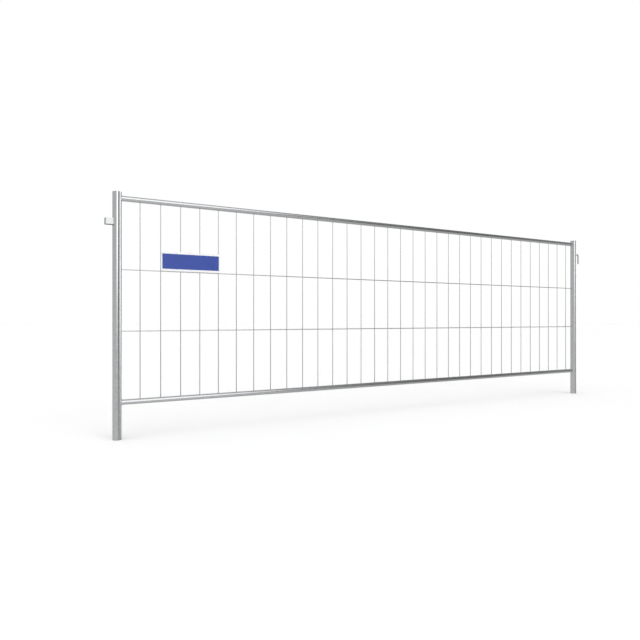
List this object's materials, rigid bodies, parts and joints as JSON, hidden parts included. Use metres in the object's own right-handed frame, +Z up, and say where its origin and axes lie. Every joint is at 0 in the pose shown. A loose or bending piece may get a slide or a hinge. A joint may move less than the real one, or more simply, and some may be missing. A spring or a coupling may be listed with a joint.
{
  "type": "temporary fence panel",
  "caption": "Low welded tube fence panel with a wire mesh, open legs for base blocks, and a hook and an eye that couple it to the next panel.",
  "frame": {"origin": "on the ground, midway between the two uprights' axes, in the plane of the panel", "axes": "+X along the panel from the eye end to the hook end, +Y from the front (sign side) to the back, +Z up"},
  "size_m": [3.5214, 0.0422, 1.2],
  "materials": {
    "galvanised_tube": "galvanised, satin, with fine spangle",
    "galvanised_wire": "galvanised wire, satin",
    "weld_metal": "weld bead sprayed with zinc, matt",
    "sign_white": "moulded plastic, fine grain",
    "sign_blue": "blue sheet, semi-gloss, bare"
  },
  "bodies": {
    "root": {"left_upright": "galvanised_tube", "right_upright": "galvanised_tube", "top_rail": "galvanised_tube", "bottom_rail": "galvanised_tube", "vertical_wire_01": "galvanised_wire", "vertical_wire_02": "galvanised_wire", "vertical_wire_03": "galvanised_wire", "vertical_wire_04": "galvanised_wire", "vertical_wire_05": "galvanised_wire", "vertical_wire_06": "galvanised_wire", "vertical_wire_07": "galvanised_wire", "vertical_wire_08": "galvanised_wire", "vertical_wire_09": "galvanised_wire", "vertical_wire_10": "galvanised_wire", "vertical_wire_11": "galvanised_wire", "vertical_wire_12": "galvanised_wire", "vertical_wire_13": "galvanised_wire", "vertical_wire_14": "galvanised_wire", "vertical_wire_15": "galvanised_wire", "vertical_wire_16": "galvanised_wire", "vertical_wire_17": "galvanised_wire", "vertical_wire_18": "galvanised_wire", "vertical_wire_19": "galvanised_wire", "vertical_wire_20": "galvanised_wire", "vertical_wire_21": "galvanised_wire", "vertical_wire_22": "galvanised_wire", "vertical_wire_23": "galvanised_wire", "vertical_wire_24": "galvanised_wire", "vertical_wire_25": "galvanised_wire", "vertical_wire_26": "galvanised_wire", "vertical_wire_27": "galvanised_wire", "vertical_wire_28": "galvanised_wire", "vertical_wire_29": "galvanised_wire", "vertical_wire_30": "galvanised_wire", "vertical_wire_31": "galvanised_wire", "vertical_wire_32": "galvanised_wire", "vertical_wire_33": "galvanised_wire", "upper_cross_wire": "galvanised_wire", "lower_cross_wire": "galvanised_wire", "coupling_hook": "galvanised_tube", "coupling_eye": "galvanised_tube", "sign_plate": "sign_white", "sign_face": "sign_blue", "top_left_weld": "weld_metal", "top_right_weld": "weld_metal", "bottom_left_weld": "weld_metal", "bottom_right_weld": "weld_metal", "hook_weld": "weld_metal", "eye_welds": "weld_metal", "top_wire_welds": "weld_metal", "bottom_wire_welds": "weld_metal", "cross_wire_welds": "weld_metal", "mesh_welds": "weld_metal"}
  },
  "joints": []
}
